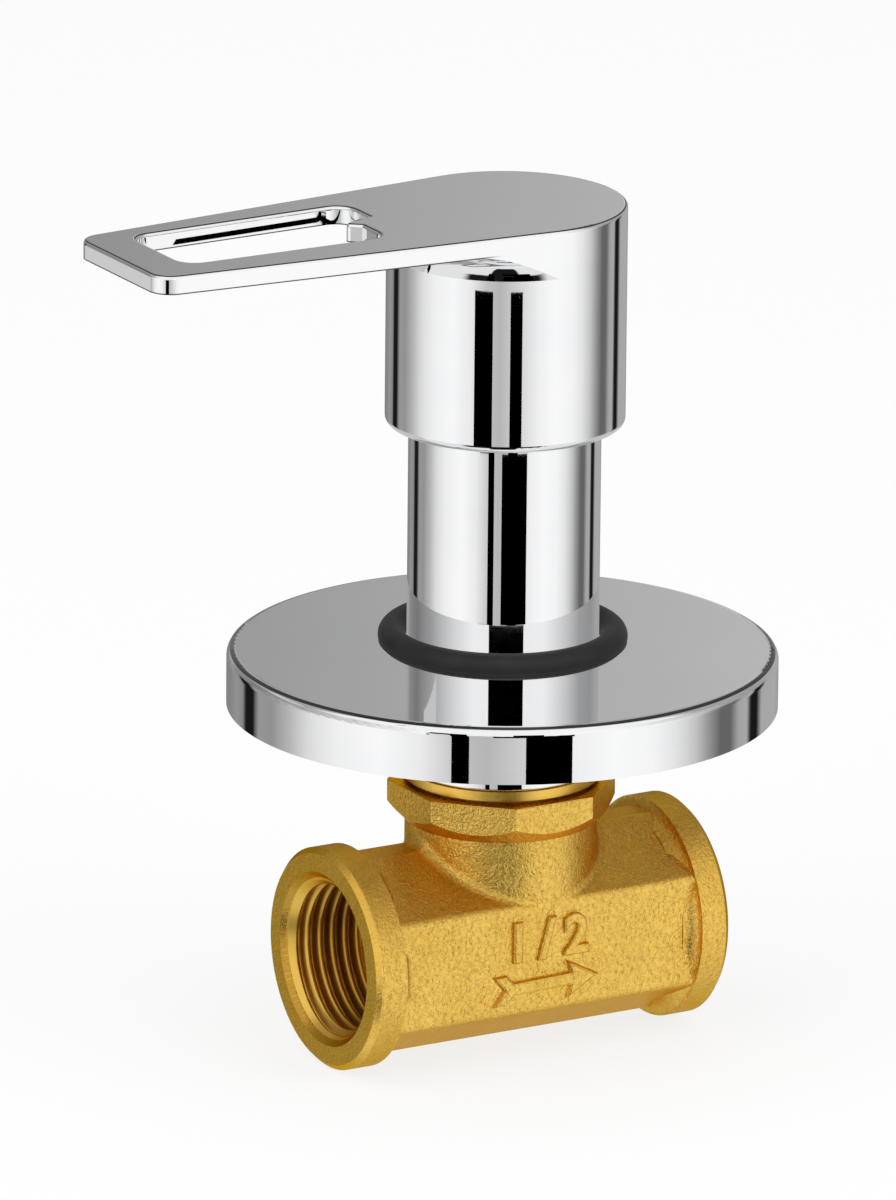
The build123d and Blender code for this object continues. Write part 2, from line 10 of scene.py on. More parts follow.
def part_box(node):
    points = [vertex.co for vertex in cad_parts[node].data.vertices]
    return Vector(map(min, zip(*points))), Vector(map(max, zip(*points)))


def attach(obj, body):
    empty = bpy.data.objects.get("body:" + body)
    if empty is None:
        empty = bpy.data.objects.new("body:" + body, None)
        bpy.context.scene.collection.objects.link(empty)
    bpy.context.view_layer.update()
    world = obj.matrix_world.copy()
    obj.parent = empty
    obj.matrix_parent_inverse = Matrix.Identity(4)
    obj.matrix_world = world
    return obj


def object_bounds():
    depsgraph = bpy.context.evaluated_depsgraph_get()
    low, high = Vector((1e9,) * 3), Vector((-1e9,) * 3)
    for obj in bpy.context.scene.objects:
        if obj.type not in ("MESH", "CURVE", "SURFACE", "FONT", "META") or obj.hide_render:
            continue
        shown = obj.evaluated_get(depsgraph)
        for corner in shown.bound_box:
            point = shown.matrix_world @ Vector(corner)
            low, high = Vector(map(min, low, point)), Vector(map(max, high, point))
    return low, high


bl_info = {
    "name": "Stop valve dressing",
    "version": (1, 0, 0),
    "blender": (4, 5, 0),
    "location": "3D View > Sidebar > Stop valve",
    "description": "Threads, raised marks, finishes and a plain studio for a built-in stop valve",
    "category": "Object",
}

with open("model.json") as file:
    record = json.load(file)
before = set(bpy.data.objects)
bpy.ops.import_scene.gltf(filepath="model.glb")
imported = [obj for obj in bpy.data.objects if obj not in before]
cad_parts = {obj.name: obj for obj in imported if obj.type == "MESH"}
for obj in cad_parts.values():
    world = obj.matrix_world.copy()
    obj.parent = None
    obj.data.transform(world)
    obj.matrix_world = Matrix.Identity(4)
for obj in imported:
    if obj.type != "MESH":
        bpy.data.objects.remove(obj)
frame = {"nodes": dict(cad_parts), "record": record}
cad_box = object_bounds()
body_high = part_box("valve_body")[1]
flange_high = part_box("wall_flange")[1]
ring_low, ring_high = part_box("flange_ring")
sleeve_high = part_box("chrome_sleeve")[1]
handle_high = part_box("lever_handle")[1]
inlet = next(mount for mount in frame["record"]["mounts"] if mount["name"] == "inlet")

# Measures of the valve that the pieces and finishes meet, in metres

HALF_RUN = body_high.x
LEVER_BOTTOM = handle_high.z - 0.0024
THREAD_RADIUS = inlet["dims"]["r_mm"] / 1000
# where the pipe thread ends inside, measured from the valve's middle
THREAD_START = 0.0128
# where the mouth's cone begins, and its radius where it meets the end face
CONE_START = 0.0240
MOUTH_RADIUS = 0.0112
# how deep a thread's wall stands in the bore's, and its steps along the axis and round it
WALL_SINK = 0.00004
THREAD_STEPS = (132, 200)
# the run's flat front face, and how deep the foot of a raised mark stands in it
RUN_FRONT = -0.0123
MARK_ROOT = 0.0003

# The photograph's camera: where it looks, its roll in radians, its focal length in pixels of the
# photograph and the photograph's height in pixels

CAMERA_AIM = Vector((-0.00689009, 0.00201076, 0.04429322))
CAMERA_ROLL = 0.009589
FOCAL_PIXELS = 15814.14
PHOTO_PIXELS = 1200
SENSOR_HEIGHT = 36.0

# Finishes of the hidden pieces: base tone, deeper tone, least and greatest roughness, metallic,
# scale of the patches, scale and height of the grain

PLAIN_FINISHES = {
    "white_ceramic": (
        (0.80, 0.79, 0.75), (0.74, 0.73, 0.69), 0.16, 0.26, 0.0, 240.0, 5200.0, 0.000005),
    "white_plastic": (
        (0.78, 0.78, 0.76), (0.72, 0.72, 0.70), 0.38, 0.52, 0.0, 180.0, 3400.0, 0.00002),
    "spring_steel": (
        (0.56, 0.56, 0.57), (0.46, 0.46, 0.47), 0.24, 0.36, 1.0, 420.0, 5200.0, 0.00001),
    "fibre": (
        (0.34, 0.11, 0.06), (0.24, 0.07, 0.04), 0.62, 0.82, 0.0, 700.0, 2800.0, 0.00004),
}

# Black cards on two upright drums about the valve's axis, for the streaks in the chrome: name,
# radius of the chrome, radius of the drum, bottom and top of the card, and each streak's two edges
# as shares of the chrome's half width

NEAR_DRUM = 0.12
FAR_DRUM = 0.16
CARD_STEPS = 24
BANDS = (
    ("barrel", handle_high.y, NEAR_DRUM, 0.0352, 0.0592, ((-0.26, -0.11), (0.035, 0.135))),
    ("sleeve", sleeve_high.y, NEAR_DRUM, 0.0111, 0.0352, ((-0.168, -0.106), (-0.028, 0.232))),
    ("rim", flange_high.y, NEAR_DRUM, 0.0030, 0.0111, ((-0.182, -0.118), (0.086, 0.253))),
    ("foot", sleeve_high.y, NEAR_DRUM, -0.0160, 0.0030, ((-0.167, -0.121), (-0.039, 0.213))),
    ("mirrored", sleeve_high.y, FAR_DRUM, 0.0757, 0.1130, ((-0.146, 0.213),)),
)

# Tones of the room that the gloss sees, round the horizon and higher up: angle from the camera's
# side in degrees, and tone

HORIZON_TONES = (
    (-180, 0.24), (-160, 0.24), (-147, 0.32), (-139, 0.26), (-136, 0.01), (-128, 0.01),
    (-123, 0.34), (-112, 0.32), (-100, 0.52), (-88, 0.80), (-74, 0.97), (-52, 1.06), (-34, 0.93),
    (-18, 0.60), (-6, 0.52), (3, 0.62), (18, 0.80), (32, 0.98), (48, 1.07), (66, 1.02),
    (78, 0.86), (88, 0.62), (96, 0.34), (104, 0.14), (111, 0.14), (117, 0.40), (124, 0.44),
    (127, 0.01), (134, 0.01), (139, 0.42), (160, 0.42), (180, 0.24),
)
UPPER_TONES = (
    (-180, 0.42), (-150, 0.30), (-125, 0.22), (-95, 0.40), (-60, 0.80), (-35, 1.05), (0, 1.0),
    (50, 1.05), (80, 0.70), (105, 0.40), (130, 0.35), (155, 0.45), (180, 0.42),
)


# Shapes

def new_object(name, data):
    """Object at the origin, in the scene."""
    piece = bpy.data.objects.new(name, data)
    bpy.context.scene.collection.objects.link(piece)
    return piece


def shade(mesh, smooth):
    """Sets every face of a mesh smooth or flat."""
    mesh.polygons.foreach_set("use_smooth", np.full(len(mesh.polygons), smooth))


def mesh_object(name, points, faces, smooth=True):
    """Mesh object at the origin, from an array of points in metres and a list of faces."""
    mesh = bpy.data.meshes.new(name)
    mesh.from_pydata(points.tolist(), [], faces)
    shade(mesh, smooth)
    mesh.update()
    return new_object(name, mesh)


def grid_faces(rows, columns, wrap_rows=False, wrap_columns=False):
    """Four-sided faces of a grid.

    Corner (i, j) is row i, column j; a wrapped side joins its last line to its first.
    """
    i = np.arange(rows if wrap_rows else rows - 1)
    j = np.arange(columns if wrap_columns else columns - 1)
    i, j = np.meshgrid(i, j, indexing="ij")
    i, j = i.ravel(), j.ravel()
    across, along = (j + 1) % columns, (i + 1) % rows
    corners = (i * columns + j, i * columns + across, along * columns + across, along * columns + j)
    return np.stack(corners, 1).tolist()


def lathe(name, radius, height, steps=256):
    """Closed turned ring about Z: the closed profile (radius, height) carried round in equal steps.

    The profile runs anticlockwise in the radius-height plane, so that the faces point outwards.
    """
    turn = np.linspace(0, 2 * pi, steps, endpoint=False)
    points = np.stack([
        np.outer(np.cos(turn), radius),
        np.outer(np.sin(turn), radius),
        np.outer(np.ones(steps), height),
    ], -1).reshape(-1, 3)
    return mesh_object(name, points, grid_faces(steps, len(radius), True, True))


def smooth_step(value, low, high):
    """0 below low, 1 above high, and a cubic between them."""
    share = np.clip((value - low) / (high - low), 0, 1)
    return share * share * (3 - 2 * share)


def thread_tube(name, side, pitch, depth, run_out):
    """Internal thread as a closed thin tube in the bore at the +X or -X end.

    Along the axis x and round it t, the wall's radius is the bore's, less the depth times a
    rounded ridge. The ridge is a triangle wave of x / pitch - t / one turn, softened at its tip
    and its foot. It fades out over the run-out at the blind end, and never stands inside the
    mouth's cone. The tube's hidden side is a plain cylinder in the metal round the bore.
    """
    x = np.linspace(THREAD_START, HALF_RUN - 0.0001, THREAD_STEPS[0])
    t = np.linspace(0, 2 * pi, THREAD_STEPS[1], endpoint=False)
    grid_x, grid_t = np.meshgrid(x, t, indexing="ij")
    wave = 1 - np.abs(2 * ((grid_x / pitch - side * grid_t / (2 * pi)) % 1) - 1)
    ridge = 0.5 * wave + 0.5 * smooth_step(wave, 0.12, 0.88)
    ridge = ridge * smooth_step(grid_x, THREAD_START + 0.2 * run_out, THREAD_START + run_out)
    root = THREAD_RADIUS + WALL_SINK
    cone = MOUTH_RADIUS - (HALF_RUN - grid_x)
    radius = np.maximum(root - depth * ridge, np.minimum(cone, THREAD_RADIUS + 0.0007))
    radius = np.minimum(radius, root + np.maximum(0, cone - THREAD_RADIUS))
    wall = np.stack([side * grid_x, radius * np.cos(grid_t), radius * np.sin(grid_t)], -1)
    hidden = THREAD_RADIUS + 0.0009
    ends = [np.stack([np.full_like(t, side * end), hidden * np.cos(t), hidden * np.sin(t)], -1)
            for end in (x[-1], x[0])]
    points = np.concatenate([wall, np.array(ends)])
    faces = grid_faces(len(points), len(t), True, True)
    if side < 0:
        faces = [face[::-1] for face in faces]
    return mesh_object(name, points.reshape(-1, 3), faces)


def unit(rows):
    """The rows of an array, each made one long."""
    return rows / np.maximum(np.linalg.norm(rows, axis=1)[:, None], 1e-9)


def raised_plate(name, outline, front, height, draft):
    """Raised mark on the run's front face, from its outline (x, z), drawn in by its draft.

    The rows of the grid are the outline at the root, at the shoulder, near the top and at the top.
    Each is moved along the outline's own inward normals by its inset, which is divided by the
    cosine of half the corner's turn. One many-sided face closes the top and one the root.
    """
    outline = np.asarray(outline, float)
    first = unit(outline - np.roll(outline, 1, 0))
    second = unit(np.roll(outline, -1, 0) - outline)
    inward = unit(np.stack([-(first + second)[:, 1], (first + second)[:, 0]], 1))
    normal = np.stack([-first[:, 1], first[:, 0]], 1)
    cosine = np.clip((inward * normal).sum(1), 0.45, 1)[:, None]
    rows = []
    for inset, rise in ((-0.4 * draft, -MARK_ROOT), (0.0, 0.25 * height),
                        (0.35 * draft, 0.8 * height), (draft, height)):
        flat = outline + inward * inset / cosine
        rows.append(np.stack([flat[:, 0], np.full(len(flat), front - rise), flat[:, 1]], 1))
    count = len(outline)
    faces = grid_faces(len(rows), count, False, True)
    faces.append([count * (len(rows) - 1) + k for k in range(count)])
    faces.append(list(range(count))[::-1])
    piece = mesh_object(name, np.concatenate(rows), faces, False)
    point_outwards(piece)
    return piece


def point_outwards(piece):
    """Merges a piece's doubled corners and turns its faces outwards."""
    work = bmesh.new()
    work.from_mesh(piece.data)
    bmesh.ops.remove_doubles(work, verts=work.verts, dist=1e-7)
    bmesh.ops.recalc_face_normals(work, faces=work.faces)
    work.to_mesh(piece.data)
    work.free()


def arrow_outline(length, shaft, head, head_width, tail_width, notch, barb, rise):
    """Corner points of a flow arrow along +X with a notched tail, tilted a little by rise."""
    half = length / 2
    lower = [(-half - notch * 0.2, -tail_width / 2), (-half + notch, -tail_width / 2),
             (-half + 1.7 * notch, -shaft / 2), (half - head, -shaft / 2),
             (half - head - barb, -head_width / 2)]
    upper = [(x, -z) for x, z in reversed(lower)]
    points = [(-half + 0.8 * notch, 0), *lower, (half, 0), *upper]
    return [(x, z + rise * x / length) for x, z in points]


def number_mark(name, words, size, front, height, middle, spread):
    """Raised plain number from the built-in letters, with a rounded edge, its middle at (x, z)."""
    curve = bpy.data.curves.new(name, "FONT")
    curve.body = words
    curve.size = size
    curve.extrude = height * 0.45
    curve.bevel_depth = height * 0.55
    curve.bevel_resolution = 3
    curve.space_character = spread
    curve.align_x = "CENTER"
    curve.align_y = "CENTER"
    letters = new_object(name + "_words", curve)
    bpy.context.view_layer.update()
    made = letters.evaluated_get(bpy.context.evaluated_depsgraph_get())
    mesh = bpy.data.meshes.new_from_object(made)
    bpy.data.objects.remove(letters)
    bpy.data.curves.remove(curve)
    place = Matrix.Translation((middle[0], front, middle[1]))
    mesh.transform(place @ Matrix.Rotation(radians(90), 4, "X"))
    mesh.name = name
    piece = new_object(name, mesh)
    point_outwards(piece)
    shade(mesh, False)
    return piece


# Shader maths

class Wire:
    """One socket of a node tree. Its arithmetic adds Math nodes; numbers alone stay in Python."""

    def __init__(self, paint, socket):
        self.paint = paint
        self.socket = socket

    def __add__(self, other):
        return self.paint.math("ADD", self, other)

    __radd__ = __add__

    def __sub__(self, other):
        return self.paint.math("SUBTRACT", self, other)

    def __rsub__(self, other):
        return self.paint.math("SUBTRACT", other, self)

    def __mul__(self, other):
        return self.paint.math("MULTIPLY", self, other)

    def __truediv__(self, other):
        return self.paint.math("DIVIDE", self, other)

    def __pow__(self, other):
        return self.paint.math("POWER", self, other)


def grey(tone):
    """Colour with three equal parts."""
    return tone, tone, tone


class Paint:
    """A node tree being filled: one method adds any node, and short ones stand for common sums."""

    def __init__(self, tree):
        self.tree = tree
        tree.nodes.clear()

    def node(self, kind, settings=None, **sockets):
        """Adds a node, applies its settings, then its sockets by name or by position as _0, _1."""
        node = self.tree.nodes.new(kind)
        for key, value in (settings or {}).items():
            setattr(node, key, value)
        for key, value in sockets.items():
            socket = node.inputs[int(key[1:]) if key.startswith("_") else key.replace("_", " ")]
            if isinstance(value, Wire):
                self.tree.links.new(value.socket, socket)
            else:
                socket.default_value = value
        return node

    def out(self, kind, output=0, settings=None, **sockets):
        """Adds a node and returns one of its outputs, by name or by position."""
        return Wire(self, self.node(kind, settings, **sockets).outputs[output])

    def math(self, operation, first, second=0.0, clamp=False):
        settings = {"operation": operation, "use_clamp": clamp}
        return self.out("ShaderNodeMath", 0, settings, _0=first, _1=second)

    def clamp(self, value):
        return self.math("ADD", value, 0.0, True)

    def larger(self, first, second):
        return self.math("MAXIMUM", first, second)

    def size(self, value):
        return self.math("ABSOLUTE", value)

    def rise(self, value, low, high):
        """0 below low, 1 above high, smooth between."""
        return self.out("ShaderNodeMapRange", 0, {"interpolation_type": "SMOOTHSTEP"},
                        Value=value, From_Min=low, From_Max=high)

    def fall(self, value, low, high):
        """1 below low, 0 above high, smooth between."""
        return 1.0 - self.rise(value, low, high)

    def mix(self, share, first, second):
        """Colour mix. Each colour is a wire or three numbers."""
        first, second = (part if isinstance(part, Wire) else (*part, 1) for part in (first, second))
        return self.out("ShaderNodeMix", 2, {"data_type": "RGBA"}, _0=share, _6=first, _7=second)

    def ramp(self, turn, tones):
        """Grey by the turn round the horizon, from pairs of an angle in degrees and a tone."""
        wire = self.out("ShaderNodeValToRGB", Fac=turn)
        elements = wire.socket.node.color_ramp.elements
        while len(elements) < len(tones):
            elements.new(0.5)
        for element, (angle, tone) in zip(elements, tones):
            element.position = (angle + 180) / 360
            element.color = (*grey(tone), 1)
        return wire

    def noise(self, place, scale, detail=2.0, roughness=0.5, distortion=0.0):
        return self.out("ShaderNodeTexNoise", Vector=place, Scale=scale, Detail=detail,
                        Roughness=roughness, Distortion=distortion)

    def place(self):
        """Object coordinates, in metres."""
        return self.out("ShaderNodeTexCoord", "Object")

    def lift(self):
        """How far the surface faces up: the height of its normal, in the object's own axes."""
        return self.parts(self.out("ShaderNodeTexCoord", "Normal"))[2]

    def parts(self, vector):
        node = self.node("ShaderNodeSeparateXYZ", Vector=vector)
        return [Wire(self, socket) for socket in node.outputs]

    def stretched(self, vector, scale):
        return self.out("ShaderNodeMapping", Vector=vector, Scale=scale)

    def bump(self, height, distance, strength=1.0):
        return self.out("ShaderNodeBump", Strength=strength, Distance=distance, Height=height)

    def light(self, kind, tone, strength):
        """Even light of a grey: kind is Emission for a surface and Background for the world."""
        return self.out("ShaderNode" + kind, Color=(*grey(tone), 1), Strength=strength)

    def either(self, share, first, second):
        """Mix of two shaders."""
        return self.out("ShaderNodeMixShader", _0=share, _1=first, _2=second)

    def ray(self, question):
        """One answer of the Light Path node."""
        return self.out("ShaderNodeLightPath", question)

    def show(self, shader, kind="Material"):
        """Wires a shader to the tree's output."""
        self.node("ShaderNodeOutput" + kind, Surface=shader)

    def surface(self, **sockets):
        """Principled shader wired to the material's output."""
        self.show(self.out("ShaderNodeBsdfPrincipled", **sockets))


def new_material(name):
    material = bpy.data.materials.new(name)
    material.use_nodes = True
    return material, Paint(material.node_tree)


def cast_brass(finish):
    """Forged and blasted brass: a fine worm-like grain over soft dents, with painted shade on top.

    The end faces and the top of the neck's collar are turned, so they are smoother and a little
    darker with that painted shade, and the cones of the two mouths carry painted shade.
    """
    material, paint = new_material("cast_brass")
    place = paint.place()
    x, y, z = paint.parts(place)
    end_face = paint.rise(paint.size(x), HALF_RUN - 0.00085, HALF_RUN - 0.00055)
    top_face = paint.rise(z, body_high.z - 0.00015, body_high.z - 0.00005)
    turned = paint.larger(end_face, top_face)
    # painted shade in the mouths' cones: the mask of the cones, mixed below towards the bore's
    # shade tone
    in_cone = paint.rise(MOUTH_RADIUS + 0.00008 - (y * y + z * z) ** 0.5, 0.0, 0.0001)
    mouth = in_cone * paint.rise(paint.size(x), CONE_START, CONE_START + 0.0004)
    worms = paint.noise(place, 1450.0, 2.0, 0.5, 0.9)
    worms = paint.clamp(1.0 - paint.size(worms - 0.5) * 7.0)
    dents = paint.noise(place, 330.0, 2.0, 0.5, 0.3)
    grains = paint.noise(place, 3600.0, 1.0, 0.5)
    tool = paint.noise(paint.stretched(place, (200.0, 1500.0, 1500.0)), 1.0, 2.0, 0.6, 1.4)
    cast_skin = worms * 0.42 + dents * 1.10 + grains * 0.22
    height = cast_skin * (1.0 - turned * 0.80) + tool * turned * 0.30
    patches = paint.rise(paint.noise(place, 150.0, 3.0, 0.55, 0.3), 0.30, 0.72)
    pores = (1.0 - worms) * paint.rise(grains, 0.42, 0.66)
    # painted shade: how far a face looks up; below, top faces and, a little, turned faces are mixed
    # towards the painted-shade tone
    top_shade_share = paint.rise(paint.lift(), 0.10, 0.85)
    tone = paint.mix(patches, finish.brass_shade, finish.brass_light)
    tone = paint.mix(pores * 0.30, tone, finish.brass_pore)
    tone = paint.mix(mouth * 0.6, tone, finish.brass_bore_shade)
    tone = paint.mix(top_shade_share * 0.45 + turned * 0.10, tone, finish.brass_painted_shade)
    rough = 0.30 - worms * 0.05 + grains * 0.06 - turned * 0.03
    paint.surface(Base_Color=tone, Metallic=1.0, Roughness=rough,
                  Specular_Tint=(*finish.brass_edge, 1), Coat_Weight=0.18 - turned * 0.16,
                  Coat_Roughness=0.34, Normal=paint.bump(height, 0.000088))
    return material


def turned_brass(finish):
    """Turned brass: fine tool rings, and painted shade that deepens down the pipe threads."""
    material, paint = new_material("turned_brass")
    place = paint.place()
    along = paint.size(paint.parts(place)[0])
    rings = paint.noise(paint.stretched(place, (9000.0, 60.0, 60.0)), 1.0, 2.0, 0.6)
    tarnish = paint.noise(place, 300.0, 3.0, 0.6, 0.4)
    # painted shade down the pipe threads: darker the deeper into the bore, and a little all through
    # the thread
    in_thread = paint.rise(along, THREAD_START - 0.0002, THREAD_START)
    depth = paint.rise(HALF_RUN - along, 0.0004, 0.0075) * in_thread
    tone = paint.mix(paint.rise(tarnish, 0.3, 0.75), finish.brass_shade, finish.brass_light)
    tone = paint.mix(depth * 0.62 + in_thread * 0.12, tone, finish.brass_bore_shade)
    rough = 0.24 + rings * 0.10 + tarnish * 0.06
    paint.surface(Base_Color=tone, Metallic=1.0, Roughness=rough,
                  Specular_Tint=(*finish.brass_edge, 1),
                  Normal=paint.bump(rings * 0.6 + tarnish * 0.4, 0.00004, 0.4))
    return material


def chrome_plate(finish):
    """Polished chrome: nearly a mirror, with faint wiping marks and specks in its gloss.

    Two thin dark lines of painted shade follow its edges: one just over the lever's underside,
    and one where the surface turns over from upright to flat.
    """
    material, paint = new_material("chrome_plate")
    place = paint.place()
    x, y, z = paint.parts(place)
    wiping = paint.noise(paint.stretched(place, (40.0, 40.0, 160.0)), 1.0, 3.0, 0.6, 0.3)
    specks = paint.rise(paint.noise(place, 3200.0, 1.0, 0.5), 0.68, 0.80)
    # painted shade: thin dark lines just over the lever's underside and where the surface turns
    # from upright to flat
    lower_edge_shade = paint.fall(paint.size(z - (LEVER_BOTTOM + 0.00006)), 0.00006, 0.00014)
    on_lever = paint.rise(0.0 - x, 0.0085, 0.0125)
    lift = paint.lift()
    upper_edge_shade = paint.rise(lift, 0.72, 0.78) * paint.fall(lift, 0.950, 0.975)
    lines = paint.larger(lower_edge_shade * on_lever, upper_edge_shade)
    tone = paint.mix(paint.rise(wiping, 0.3, 0.8), finish.chrome_shade, finish.chrome_light)
    tone = paint.mix(lines * 0.92, tone, grey(0.02))
    rough = finish.chrome_roughness + paint.rise(wiping, 0.35, 0.75) * 0.02 + specks * 0.03
    paint.surface(Base_Color=tone, Metallic=1.0, Roughness=rough)
    return material


def black_rubber(finish):
    """Moulded rubber: fine grain, faint bloom where it has been handled."""
    material, paint = new_material("black_rubber")
    place = paint.place()
    grain = paint.noise(place, 4200.0, 2.0, 0.6)
    bloom = paint.noise(place, 260.0, 3.0, 0.6, 0.5)
    bloomed = [1.9 * part for part in finish.rubber]
    tone = paint.mix(paint.rise(bloom, 0.35, 0.8), finish.rubber, bloomed)
    paint.surface(Base_Color=tone, Roughness=0.46 + bloom * 0.16, Specular_IOR_Level=0.42,
                  Normal=paint.bump(grain, 0.00003, 0.5))
    return material


def plain_finish(name, base, deep, rough_low, rough_high, metallic, scale, grain_scale,
                 grain_height):
    """Moulded, lapped or drawn finish: two close tones in soft patches and a fine grain."""
    material, paint = new_material(name)
    place = paint.place()
    patch = paint.noise(place, scale, 3.0, 0.55, 0.3)
    grain = paint.noise(place, grain_scale, 2.0, 0.6)
    tone = paint.mix(paint.rise(patch, 0.3, 0.75), deep, base)
    rough = rough_low + paint.rise(grain, 0.2, 0.8) * (rough_high - rough_low)
    paint.surface(Base_Color=tone, Metallic=metallic, Roughness=rough,
                  Normal=paint.bump(grain, grain_height, 0.5))
    return material


# Settings

def tone_setting(name, description, default):
    return bpy.props.FloatVectorProperty(
        name=name, description=description, subtype="COLOR", size=3, min=0, max=1, default=default)


def length_setting(name, description, default):
    return bpy.props.FloatProperty(
        name=name, description=description, subtype="DISTANCE", default=default)


class FinishSettings(bpy.types.PropertyGroup):
    brass_light: tone_setting(
        "Brass, light", "Tone of the brass where it is cleanest", (0.98, 0.640, 0.132))
    brass_shade: tone_setting(
        "Brass, shade", "Tone of the brass where it is slightly dull", (0.93, 0.585, 0.108))
    # painted shade of the faces that look up, and a little of the turned faces
    brass_painted_shade: tone_setting(
        "Brass, deep", "Tone of the brass on top and on turned faces", (0.56, 0.270, 0.022))
    brass_pore: tone_setting(
        "Brass, pores", "Tone of the pores in the forged skin", (0.46, 0.220, 0.020))
    # painted shade deep in the pipe threads and in the mouths' cones
    brass_bore_shade: tone_setting(
        "Brass, bore", "Tone of the brass deep in the pipe threads", (0.34, 0.150, 0.012))
    brass_edge: tone_setting(
        "Brass, at a glance", "Tone of the brass where it is seen almost edge on",
        (0.90, 0.62, 0.20))
    chrome_light: tone_setting(
        "Chrome, light", "Tone of clean chrome", (0.90, 0.90, 0.905))
    chrome_shade: tone_setting(
        "Chrome, wiped", "Tone of chrome where it has been wiped", (0.87, 0.875, 0.885))
    chrome_roughness: bpy.props.FloatProperty(
        name="Chrome roughness", description="Least roughness of the chrome", min=0, max=0.5,
        default=0.012)
    rubber: tone_setting(
        "Rubber", "Tone of the black rubber", (0.0065, 0.0065, 0.0070))


class ShapeSettings(bpy.types.PropertyGroup):
    pitch: length_setting(
        "Thread pitch", "Distance between two turns of the pipe thread", 0.001814)
    thread_depth: length_setting(
        "Thread depth", "Height of the thread from root to crest", 0.001162)
    run_out: length_setting(
        "Thread run-out", "Length over which the thread fades at its blind end", 0.0026)
    mark_height: length_setting(
        "Mark height", "How far the number and the arrow stand out of the run", 0.00058)
    number_size: length_setting(
        "Number size", "Height of the number's line", 0.0071)
    arrow_length: length_setting(
        "Arrow length", "Length of the flow arrow", 0.0150)
    flash_width: length_setting(
        "Flash width", "Width of the moulding line round the rubber ring", 0.00028)


class StudioSettings(bpy.types.PropertyGroup):
    distance: length_setting(
        "Camera distance", "Distance from the camera to the middle of the valve", 2.0)
    azimuth: bpy.props.FloatProperty(
        name="Camera azimuth", description="Turn of the camera to the left of the front",
        subtype="ANGLE", default=radians(30.02))
    elevation: bpy.props.FloatProperty(
        name="Camera elevation", description="Height of the camera as an angle", subtype="ANGLE",
        default=radians(16.76))
    lamp_power: bpy.props.FloatProperty(
        name="Lamp power", description="Power of each soft lamp", unit="POWER", default=9.0)


# Operators

def dress(piece, body, slot):
    """Puts a new piece on its body with the finish of that slot."""
    piece.data.materials.clear()
    piece.data.materials.append(bpy.data.materials[slot])
    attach(piece, body)


class VALVE_OT_finishes(bpy.types.Operator):
    """Make the finishes and give them to the valve's own pieces"""

    bl_idname = "valve.finishes"
    bl_label = "Finishes"

    def execute(self, context):
        finish = context.scene.valve_finish
        for flat in list(bpy.data.materials):
            bpy.data.materials.remove(flat)
        made = {
            "cast_brass": cast_brass(finish),
            "turned_brass": turned_brass(finish),
            "chrome_plate": chrome_plate(finish),
            "black_rubber": black_rubber(finish),
        }
        for name, look in PLAIN_FINISHES.items():
            made[name] = plain_finish(name, *look)
        slots = {part["node"]: part["material_slot"] for part in frame["record"]["subparts"]}
        for name, node in frame["nodes"].items():
            node.data.materials.clear()
            node.data.materials.append(made[slots[name]])
        # the ring's own mirror image doesn't show in the flange of the photograph
        frame["nodes"]["flange_ring"].visible_glossy = False
        return {"FINISHED"}


class VALVE_OT_threads(bpy.types.Operator):
    """Cut the pipe threads in both ends"""

    bl_idname = "valve.threads"
    bl_label = "Pipe threads"

    def execute(self, context):
        shape = context.scene.valve_shape
        for name, side in (("inlet_thread", -1), ("outlet_thread", 1)):
            tube = thread_tube(name, side, shape.pitch, shape.thread_depth, shape.run_out)
            dress(tube, "valve", "turned_brass")
        return {"FINISHED"}


class VALVE_OT_marks(bpy.types.Operator):
    """Raise the plain size number and the flow arrow on the front of the run"""

    bl_idname = "valve.marks"
    bl_label = "Raised marks"

    def execute(self, context):
        shape = context.scene.valve_shape
        middle, number_z, arrow_z = -0.0003, 0.0022, -0.0035
        number = number_mark("size_number", "1/2", shape.number_size, RUN_FRONT, shape.mark_height,
                             (middle, number_z), spread=1.42)
        dress(number, "valve", "cast_brass")
        corners = arrow_outline(shape.arrow_length, shaft=0.0018, head=0.0042, head_width=0.0050,
                                tail_width=0.0040, notch=0.0016, barb=0.0003, rise=0.0004)
        outline = [(x + middle, z + arrow_z) for x, z in corners]
        arrow = raised_plate("flow_arrow", outline, RUN_FRONT, shape.mark_height, draft=0.00038)
        dress(arrow, "valve", "cast_brass")
        return {"FINISHED"}


class VALVE_OT_ring_flash(bpy.types.Operator):
    """Add the moulding line round the rubber ring"""

    bl_idname = "valve.ring_flash"
    bl_label = "Ring moulding line"

    def execute(self, context):
        tube = (ring_high.z - ring_low.z) / 2
        place, half, flatness = radians(-24), context.scene.valve_shape.flash_width / 2, 0.55
        turn = np.linspace(0, 2 * pi, 16, endpoint=False)
        radius = ring_high.x - tube + tube * cos(place) + half * np.cos(turn) * flatness
        height = ring_low.z + tube + tube * sin(place) + half * np.sin(turn)
        flash = lathe("ring_moulding_line", radius, height)
        dress(flash, "trim", "black_rubber")
        flash.visible_glossy = False
        return {"FINISHED"}


